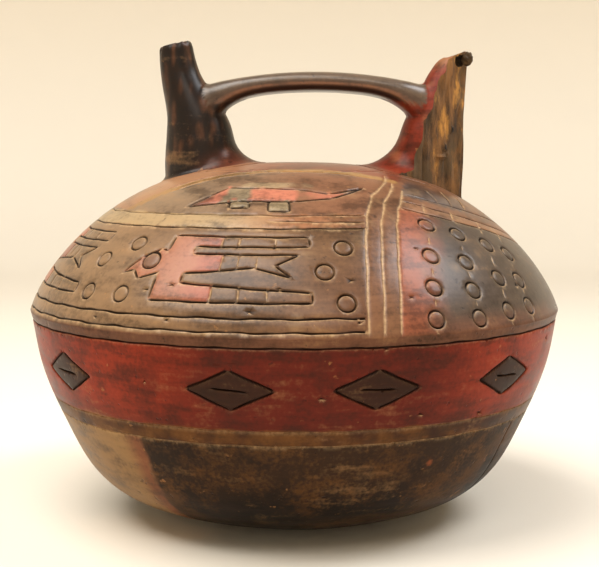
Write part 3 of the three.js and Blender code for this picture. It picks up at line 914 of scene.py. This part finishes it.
class Nodes:
    """The nodes of one material."""

    def __init__(self, name):
        self.material = bpy.data.materials.new(name)
        self.material.use_nodes = True
        self.tree = self.material.node_tree
        self.shader = self.tree.nodes["Principled BSDF"]
        self.place = self.add("ShaderNodeTexCoord", {}, {}, "Object")

    def add(self, kind, settings=None, inputs=(), output=0):
        node = self.tree.nodes.new(kind)
        for key, value in (settings or {}).items():
            setattr(node, key, value)
        pairs = inputs.items() if isinstance(inputs, dict) else enumerate(inputs)
        for key, value in pairs:
            if isinstance(value, Value):
                self.tree.links.new(value.socket, node.inputs[key])
            else:
                node.inputs[key].default_value = value
        return Value(self, node.outputs[output])

    def noise(self, scale, detail=3.0, stretch=(1, 1, 1), rough=0.55, shift=0.0):
        place = self.add("ShaderNodeMapping", {}, {
            "Vector": self.place, "Scale": stretch, "Location": (shift, shift * 0.7, -shift),
        })
        return self.add("ShaderNodeTexNoise", {}, {
            "Vector": place, "Scale": scale, "Detail": detail, "Roughness": rough,
        })

    def mix(self, share, one, other):
        node = self.tree.nodes.new("ShaderNodeMix")
        node.data_type = "RGBA"
        for index, value in ((0, share), (6, one), (7, other)):
            if isinstance(value, Value):
                self.tree.links.new(value.socket, node.inputs[index])
            else:
                node.inputs[index].default_value = value
        return Value(self, node.outputs[2])

    def attribute(self, name, output="Fac"):
        return self.add("ShaderNodeAttribute", {"attribute_name": name}, {}, output)

    def feed(self, **sockets):
        for name, value in sockets.items():
            socket = self.shader.inputs[name.replace("_", " ")]
            if isinstance(value, Value):
                self.tree.links.new(value.socket, socket)
            else:
                socket.default_value = value

    def bump(self, height, strength, distance):
        sizes = {"Strength": strength, "Distance": distance, "Height": height}
        return self.add("ShaderNodeBump", {}, sizes, "Normal")


def paint(red, green, blue):
    """A colour given as it looks on a screen, from 0 to 255, as a shader colour."""
    shares = [c / 255 for c in (red, green, blue)]
    linear = [s / 12.92 if s <= 0.04045 else ((s + 0.055) / 1.055) ** 2.4 for s in shares]
    return (*linear, 1.0)


def burnished_slip():
    """Slip rubbed to a dull shine, worn thin in places; the cut lines are darkened, partly dirt and partly
    painted shade, and their edges pale, partly wear and partly painted highlight.
    """
    n = Nodes("burnished_slip")
    mottle = n.attribute("mottle")
    lip = n.attribute("lip")
    cut = n.attribute("cut")
    broad = n.noise(38, 3)
    middle = n.noise(130, 4, shift=3)
    fine = n.noise(900, 3, shift=5)
    streak = n.noise(120, 3, (0.45, 0.45, 3.2), shift=1)
    shade = (broad - 0.5) * 0.6 + (streak - 0.5) * 0.65 + (middle - 0.5) * 0.4 + (fine - 0.5) * 0.35
    blotch = (n.noise(48, 8, rough=0.72, shift=8) + (fine - 0.5) * 0.3).clamped(0.44, 0.64)
    soot = n.noise(46, 6, rough=0.65, shift=11).clamped(0.48, 0.66)
    speck = n.noise(420, 2, shift=14).clamped(0.67, 0.74)
    chip = n.noise(260, 3, shift=17).clamped(0.69, 0.75)
    colour = n.attribute("slip", "Color")
    for share, coat in (
        ((shade * -1.6 + 0.12).clamped(0, 0.45, 0, 0.6), (36, 22, 12)),
        ((shade * 1.5 - 0.05).clamped(0, 0.5, 0, 0.34), (172, 130, 86)),
        (blotch * mottle * 0.6, (92, 58, 24)),
        (soot * mottle * 0.6, (20, 13, 8)),
        (speck * 0.45, (28, 17, 10)),
        (chip * 0.4, (166, 116, 68)),
        # Pale groove edges: partly wear, partly a painted highlight on their lower sides.
        ((lip * (0.72 + (fine - 0.5) * 1.5)).clamped(0, 1, 0, 0.85), (188, 156, 116)),
        # Dark in the grooves: partly dirt, partly painted shade.
        ((cut * (1.1 + (middle - 0.5) * 0.9)).clamped(0.1, 0.85, 0, 0.93), (24, 14, 8)),
    ):
        colour = n.mix(share, colour, paint(*coat))
    rough = 0.36 + (broad - 0.5) * 0.25 + (streak - 0.5) * 0.3 + lip * 0.2 + cut * 0.35 + mottle * 0.1
    height = fine * 0.12 + streak * 0.3 + middle * 0.35 - speck * 0.5 - chip * 0.25
    n.feed(Base_Color=colour, Roughness=rough, Normal=n.bump(height, 0.35, 0.0006))
    n.feed(Specular_IOR_Level=0.06, Coat_Weight=n.attribute("polish") * (1 - cut), Coat_Roughness=0.3)
    return n.material


def broken_clay():
    """Coarse clay laid bare: ochre fibres between dark crevices."""
    n = Nodes("broken_clay")
    fibre = n.noise(300, 8, (1, 1, 0.2), rough=0.75)
    wide = n.noise(190, 6, (1, 1, 0.3), rough=0.65, shift=4)
    worn = n.noise(75, 6, (1, 1, 0.6), rough=0.65, shift=9)
    grit = n.noise(1200, 3, shift=6)
    colour = paint(44, 30, 16)
    for share, coat in (
        (fibre.clamped(0.32, 0.66), (130, 88, 44)),
        (wide.clamped(0.52, 0.64, 0, 0.75), (196, 138, 62)),
        (worn.clamped(0.46, 0.6, 0, 0.8), (78, 60, 36)),
        # The pits and the crack: near black, painted shade in their hollows.
        (n.attribute("cut").clamped(0.1, 0.6), (16, 10, 6)),
    ):
        colour = n.mix(share, colour, paint(*coat))
    n.feed(Base_Color=colour, Roughness=0.85, Normal=n.bump(fibre * 0.8 + grit * 0.2, 0.6, 0.0008))
    return n.material


def inner_clay():
    """The bare, unburnished inside."""
    n = Nodes("inner_clay")
    ground = n.mix(n.noise(90, 4).clamped(0.35, 0.65), paint(96, 62, 44), paint(62, 42, 32))
    n.feed(Base_Color=ground, Roughness=0.9, Normal=n.bump(n.noise(500, 3), 0.4, 0.0005))
    return n.material


for material, objects in (
    (burnished_slip(), (bottle, spout, stub, bridge, knob, pit)),
    (broken_clay(), (break_block,)),
    (inner_clay(), (chamber, bore)),
):
    for obj in objects:
        obj.data.materials.append(material)

# Each place of the finished surface finds the part, and on the body the line, that it came from.
kinds = {"body": 0, "bridge": 3, "knob": 4, "pit": 5}
labels = []
for label, obj in enumerate((bottle, spout, stub, bridge, knob, pit)):
    labels += [(vertex.co.copy(), label) for vertex in obj.data.vertices]
tree = kdtree.KDTree(len(labels))
for index, (place, label) in enumerate(labels):
    tree.insert(place, index)
tree.balance()
carved_tree = kdtree.KDTree(len(vertices))
for index, place in enumerate(vertices):
    carved_tree.insert(place, index)
carved_tree.balance()


def combine(target, other, operation):
    """Joins another closed surface to the target, or takes it away."""
    modifier = target.modifiers.new("join", "BOOLEAN")
    modifier.operation = operation
    modifier.solver = "MANIFOLD"
    modifier.material_mode = "TRANSFER"
    modifier.object = other
    alone(target)
    bpy.ops.object.modifier_apply(modifier=modifier.name)
    bpy.data.objects.remove(other)


def nearness(obj):
    """A search tree over an object's surface."""
    points = [vertex.co.copy() for vertex in obj.data.vertices]
    return bvhtree.BVHTree.FromPolygons(points, [list(face.vertices) for face in obj.data.polygons])


def soften(obj, one, other, reach, turns):
    """Smooths the crease where two surfaces meet, as wet clay is smoothed with a finger."""
    group = obj.vertex_groups.new(name="crease")
    for vertex in obj.data.vertices:
        far = max(one.find_nearest(vertex.co)[3], other.find_nearest(vertex.co)[3])
        if far < reach * MM:
            group.add([vertex.index], 1 - far / (reach * MM), "REPLACE")
    modifier = obj.modifiers.new("soften", "SMOOTH")
    modifier.factor = 0.5
    modifier.iterations = turns
    modifier.vertex_group = group.name
    alone(obj)
    bpy.ops.object.modifier_apply(modifier=modifier.name)
    obj.vertex_groups.clear()


crease_reach = 3.2
crease_turns = 26
strap_surface = nearness(bridge)
column_surfaces = nearness(spout), nearness(stub)
combine(stub, bridge, "UNION")
combine(stub, spout, "UNION")
for column_surface in column_surfaces:
    soften(stub, strap_surface, column_surface, crease_reach, crease_turns)
combine(stub, break_block, "DIFFERENCE")
combine(stub, pit, "DIFFERENCE")
combine(stub, knob, "UNION")
combine(bottle, stub, "UNION")
combine(bottle, chamber, "DIFFERENCE")
combine(bottle, bore, "DIFFERENCE")


# Slip. Thin coats of coloured clay were painted between the lines before the pot was burnished:
# brown and grey-brown grounds, red on the birds and in the band, ochre between the border lines.
def inside_outline(x, y, corners):
    """Whether each place is inside a closed outline."""
    within = np.zeros(len(x), bool)
    for (x1, y1), (x2, y2) in zip(corners, corners[1:] + corners[:1]):
        crosses = (y1 > y) != (y2 > y)
        within ^= crosses & (x < (x2 - x1) * (y - y1) / (y2 - y1 if y2 != y1 else 1e-9) + x1)
    return within


def ease(value, low, high):
    """A smooth way from 0 to 1 between two values."""
    share = np.clip((value - low) / (high - low), 0, 1)
    return share * share * (3 - 2 * share)


mesh = bottle.data
count = len(mesh.vertices)
spots = np.empty(count * 3, np.float32)
slopes = np.empty(count * 3, np.float32)
mesh.vertices.foreach_get("co", spots)
mesh.vertices.foreach_get("normal", slopes)
spots = spots.reshape(-1, 3).astype(float) / MM
facing = slopes[2::3].astype(float)
kind = np.zeros(count, int)
cut = np.zeros(count)
lip = np.zeros(count)
cloud = np.zeros(count)
grain = np.zeros(count)
for i, spot in enumerate(spots):
    place = Vector(spot) * MM
    kind[i] = labels[tree.find(place)[1]][1]
    if kind[i] == kinds["body"]:
        cut[i], lip[i] = carved[carved_tree.find(place)[1]]
    cloud[i] = noise.noise(Vector(spot) / 7) + 0.5 * noise.noise(Vector(spot) / 2.6)
    grain[i] = noise.noise(Vector((spot[0] / 2.2, spot[1] / 2.2, spot[2] / 13))) + 0.4 * cloud[i]
x, y, z = spots.T
# The pits and the crack of the broken face are painted dark, as painted shade in their hollows, so each
# place near it is found on that face.
face_x = (x - break_x - break_distance * math.sin(break_turn)) * math.cos(break_turn)
face_x += (y + break_distance * math.cos(break_turn)) * math.sin(break_turn)
face_out = (x - break_x) * math.sin(break_turn) - y * math.cos(break_turn) - break_distance
on_break = (z > 113) & (x > 36) & (np.abs(face_out + (z - break_z) * math.sin(break_lean)) < 3)
cut = np.where(on_break, np.maximum(cut, break_hole(face_x, z - break_z)), cut)
angle = np.degrees(np.arctan2(x, -y))
up = z - edge_height
above = up >= 0
colour = np.zeros((count, 4))
mottle = np.zeros(count)


def fill(share, shade):
    """Paints a colour over these places, fully where the share is 1."""
    share = np.asarray(share, float)[:, None]
    colour[:] = colour * (1 - share) + np.array(paint(*shade)) * share


# The upper half: its grounds, the border, the upright band, the slanting stripes and the crown.
turned = band_turn(np.clip(up, 0, band_top[0]))
band_left = band_x[0] + turned
band_right = band_x[-1] + turned
left_panel = above & (x < band_left)
right_panel = above & (x >= band_right)
fill(above, (104, 76, 52))
# Lighter towards the left: partly the slip's own tone, partly painted light from the left-hand panel.
fill(left_panel * ease(-x, 10, 60), (132, 104, 76))
fill(left_panel * ease(angle, -20, 25) * ease(up, 30, 0), (94, 60, 42))
fill(left_panel & (up > border_top), (128, 104, 80))
fill(left_panel * (up > border_top) * ease(x, -30, 12) * 0.8, (124, 80, 56))
border = left_panel & (up > border_foot) & (up <= border_top)
fill(border, (162, 136, 100))
fill(border * ease(angle, -24, 4) * 0.9, (142, 92, 62))
fill(above & (x >= band_left) & (x < band_right), (116, 80, 56))
fill(right_panel, (75, 62, 52))
red_reach = ease(x - band_right + 3 * cloud, 15, 4)
fill(right_panel * np.maximum(red_reach, 0.3 * ease(up, 6, 1)), (140, 80, 56))
in_slants = right_panel * ease(y, 0, -9)
for low, high, shade in ((32.2, 34.1, (134, 96, 70)), (34.1, 35.9, (120, 84, 62))):
    foot = np.interp(angle, [33.5, 90, 120], [low, low - 14.6, low - 20])
    top = np.interp(angle, [36.8, 90, 120], [high, high - 13.2, high - 19])
    fill(in_slants * (up > foot) * (up < top), shade)
fill(in_slants * (up >= top), (88, 74, 68))
fill(in_slants * (up >= top) * ease(y, -30, -18), (112, 74, 52))
crown = above & (up > 31) & (x < band_left + 6) & (np.abs(y) <= crown_line_y)
fill(crown, (150, 112, 68))
crown_middle = crown & (np.abs(y) <= crown_inner_y)
fill(crown_middle, (120, 64, 44))
# Lighter towards the left of the crown: a painted highlight from the light high on the left.
fill(crown_middle * ease(x, -4, -26) * 0.7, (164, 124, 90))
# The figures on it.
for turn in bird_turns:
    breast = bird_breast + turn
    shifted = short_way(angle - breast, 360) + breast
    body = above & inside_outline(shifted, z, [bird_place(breast, spot) for spot in bird_red])
    fill(body, (154, 102, 78))
    # Redder past the breast, so the breast end stays paler: partly the slip's tone, partly a painted sheen.
    fill(body * ease(shifted - breast, 4, 12) * 0.5, (150, 66, 50))
    eye = bird_place(breast, bird_eye)
    near_eye = np.hypot(np.radians(shifted - eye[0]) * 68, (z - eye[1]) * 1.35) < 2.7
    fill(above & near_eye, (116, 84, 64))
belly = np.interp(angle, [p[0] for p in animal_belly], [p[1] for p in animal_belly])
back = np.interp(angle, [p[0] for p in animal_back], [p[1] for p in animal_back])
animal = above & (up > belly) & (up < back)
in_animal = animal & (angle > -33.5) & (angle < 0.5)
fill(in_animal, (182, 112, 88))
fill(in_animal & (angle > -24) & (angle < -15) & (cloud > -0.4), (136, 118, 92))
fill(in_animal & (angle < -27.5), (122, 72, 54))
in_tail = animal & (angle >= 0.5) & (angle < 17)
fill(in_tail * ease(cloud, -0.5, 0.2) * 0.8, (170, 104, 82))
fill(in_animal & (angle < -30), (96, 62, 44))
for legs in animal_legs:
    fill(above & inside_outline(angle, up, legs), (156, 136, 104))
scar = above & (up > 37.8) & (up < 39.2) & (angle > -20) & (angle < 6) & (y < 0)
fill(scar * ease(cloud, -0.6, 0.1) * 0.55, (168, 146, 112))

# The lower half: the red band with its diamonds, the ochre strip below it and the dark, worn bowl.
below = ~above
fill(below, (96, 62, 44))
band = below & (z < edge_groove) & (z >= red_foot)
fill(band, (132, 44, 22))
fill(band * ease(z, red_foot + 7, red_foot) * 0.5, (78, 34, 22))
# Darker in the middle of the front, lighter towards the sides: painted shade on the band.
fill(band * ease(angle, -42, -10) * ease(angle, 45, 24) * 0.8, (72, 20, 11))
fill(band * ease(cloud, 0.1, 0.5) * 0.4, (66, 26, 16))
fill(below & (z < red_foot), (54, 27, 12))
fill(below * (z < red_foot + 0.4) * ease(cloud, -0.6, 0.3) * 0.55, (112, 72, 30))
lower = below & (z < ochre_foot)
fill(lower, (26, 16, 8))
haze = ease(z, 14, 26) * ease(angle, -45, -10) * ease(angle, 60, 20)
fill(lower * haze * 0.3, (74, 46, 20))
# Near black towards the foot: painted shade under the bowl.
fill(below * ease(z, 25, 8) * 0.85, (9, 5, 2))
mottle[lower] = 1
# Less mottling low down keeps the painted shade under the bowl dark.
mottle *= 0.25 + 0.75 * ease(z, 6, 20)
tan_zone = lower * ease(angle, -78, -70) * ease(angle + cloud, -34, -35.5)
fill(tan_zone, (136, 104, 66))
fill(tan_zone * ease(angle, -42, -36), (112, 66, 42))
mottle *= 1 - 0.8 * tan_zone
from_spot = np.hypot(np.radians(angle - 31.8) * 63, z - 27.6)
fill(below * ease(from_spot, 1.4, 0.4) * 0.85, (150, 78, 38))
for middle in diamonds:
    away = np.abs(short_way(angle - middle, 360)) / diamond_half_angle
    away = away + np.abs(z - diamond_middle) / diamond_half_height
    fill(below & (away < 1), (48, 25, 14))
fill(below & (z < 2.5), (90, 70, 46))

# The spout, the stub and the bridge.
over = z - shoulder_height(x, y)
column = (kind > 0) & (over > 0.12)
on_spout = column * (x < 0)
on_stub = column * (x >= 0)
fill(on_spout, (30, 22, 18))
fill(on_spout * ease(grain, 0.0, 0.5) * 0.7, (92, 58, 38))
fill(on_spout * ease(grain, -0.1, -0.5) * 0.6, (22, 18, 16))
fill(on_spout * ease(over, 7, 0) * ease(x, -34, -20) * 0.8, (104, 54, 38))
fill(on_stub, (116, 44, 28))
fill(on_stub * ease(grain, 0.0, 0.5) * 0.6, (72, 32, 22))
fill(on_stub * ease(cloud, 0.1, 0.6) * 0.5, (144, 92, 62))
fill(on_stub * ease(z, 137, 142) * 0.6, (150, 106, 74))
from_middle = np.abs(x - (bridge_start + bridge_end) / 2) / ((bridge_end - bridge_start) / 2)
underside = bridge_height - bridge_thickness / 2 - bridge_end_drop * from_middle**2
strap = (kind == kinds["bridge"]) * ease(x, 45.5, 41) * ease(x, -33, -27)
strap = strap * ease(z, underside - 1.2, underside)
fill(strap, (92, 76, 62))
# Darker on the front and near black underneath: painted shade on the strap.
fill(strap * ease(facing, 0.3, -0.1), (72, 48, 34))
fill(strap * ease(facing, -0.35, -0.7), (34, 22, 16))
# An orange-brown band along the lower front edge: a painted light catch.
fill(strap * ease(np.abs(facing + 0.25), 0.25, 0.05) * (y < 0) * 0.8, (132, 80, 44))
fill(kind == kinds["knob"], (66, 52, 36))
# The walls of the pit at the stub's tip are painted dark: painted shade in the hollow.
fill(kind == kinds["pit"], (34, 26, 18))
# How much each place shines, and patches of dust on the upper skin.
polish = np.where(above, 0.45, 0.08)
polish[kind > 0] = 0.3
polish[(kind > 0) & (x > 0)] = 0.12
polish[strap > 0.5] = 0.9
polish[kind >= kinds["knob"]] = 0
dust = ease(cloud, 0.35, 0.8) * 0.25
fill(dust * (kind == kinds["body"]) * above, (166, 134, 96))

slip_layer = mesh.attributes.new("slip", "FLOAT_COLOR", "POINT")
slip_layer.data.foreach_set("color", colour.reshape(-1).astype(np.float32))
for name, values in (("cut", cut), ("lip", lip), ("mottle", mottle), ("polish", polish)):
    layer = mesh.attributes.new(name, "FLOAT", "POINT")
    layer.data.foreach_set("value", values.astype(np.float32))

alone(bottle)
bpy.ops.object.shade_smooth_by_angle(angle=math.radians(32))
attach(bottle, "root")
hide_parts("bottle")

# Stage: a pale, seamless surround, round so that it serves every view. It is no part of the bottle.
stage_wall = [(720, 0), (830, 14), (930, 70), (1000, 170), (1030, 300), (1040, 1100)]
line = smooth_line(stage_wall, 40)
stage = spun("stage", [(0, 0), (400, 0)] + [tuple(point) for point in line], 96)
edit(stage, (bpy.ops.mesh.flip_normals, {}))
bpy.ops.object.shade_smooth()
paper = Nodes("paper")
fall = paper.add("ShaderNodeSeparateXYZ", {}, {"Vector": paper.place}, "Z")
# The surround is painted darker higher up: painted shade where less light reaches it.
shades = paper.mix(fall.clamped(0.05, 0.45), paint(236, 229, 216), paint(212, 200, 180))
paper.feed(Base_Color=shades, Roughness=0.9)
stage.data.materials.append(paper.material)

# Light: plain and soft. A large panel high on the left, a weaker one high on the right, a faint one
# in front, and two that light the surround behind, so that the bowl stays in its own shade.
world = bpy.data.worlds.new("surround")
world.use_nodes = True
world.node_tree.nodes["Background"].inputs[0].default_value = (1.0, 0.95, 0.86, 1)
world.node_tree.nodes["Background"].inputs[1].default_value = 0.14
bpy.context.scene.world = world
bpy.context.scene.view_settings.view_transform = "Standard"


def panel(name, place, target, size, power, colour=(1, 0.96, 0.9)):
    """A flat light at a place, in metres, that faces a target."""
    light = bpy.data.lights.new(name, "AREA")
    light.shape = "RECTANGLE"
    light.size, light.size_y = size
    light.energy = power
    light.color = colour
    obj = bpy.data.objects.new(name, light)
    bpy.context.scene.collection.objects.link(obj)
    obj.location = place
    obj.rotation_euler = (Vector(target) - Vector(place)).to_track_quat("-Z", "Y").to_euler()


panel("left_panel", (-0.3, -0.2, 0.8), (0, 0, 0.08), (0.6, 0.6), 8.6)
panel("right_panel", (0.48, -0.02, 0.68), (0, 0, 0.08), (0.35, 0.35), 3.6, (0.93, 0.96, 1))
panel("front_panel", (0.05, -0.7, 0.8), (0, -0.12, 0), (0.5, 0.4), 2.5)
panel("back_left", (-0.5, 0.25, 0.75), (-0.2, 1, 0.25), (0.5, 0.5), 0.95)
panel("back_right", (0.5, 0.25, 0.75), (0.2, 1, 0.25), (0.5, 0.5), 0.95)

# Camera: close in and level with the crown, looking a little down at the edge of the body.
camera_data = bpy.data.cameras.new("camera")
camera_data.lens = 78.1
camera_data.sensor_width = 36
camera_data.clip_start = 0.01
camera = bpy.data.objects.new("camera", camera_data)
bpy.context.scene.collection.objects.link(camera)
camera.location = (0, -0.4115, 0.1117)
aim = Vector((0.0016, 0, 0.0714))
camera.rotation_euler = (aim - camera.location).to_track_quat("-Z", "Y").to_euler()
bpy.context.scene.camera = camera
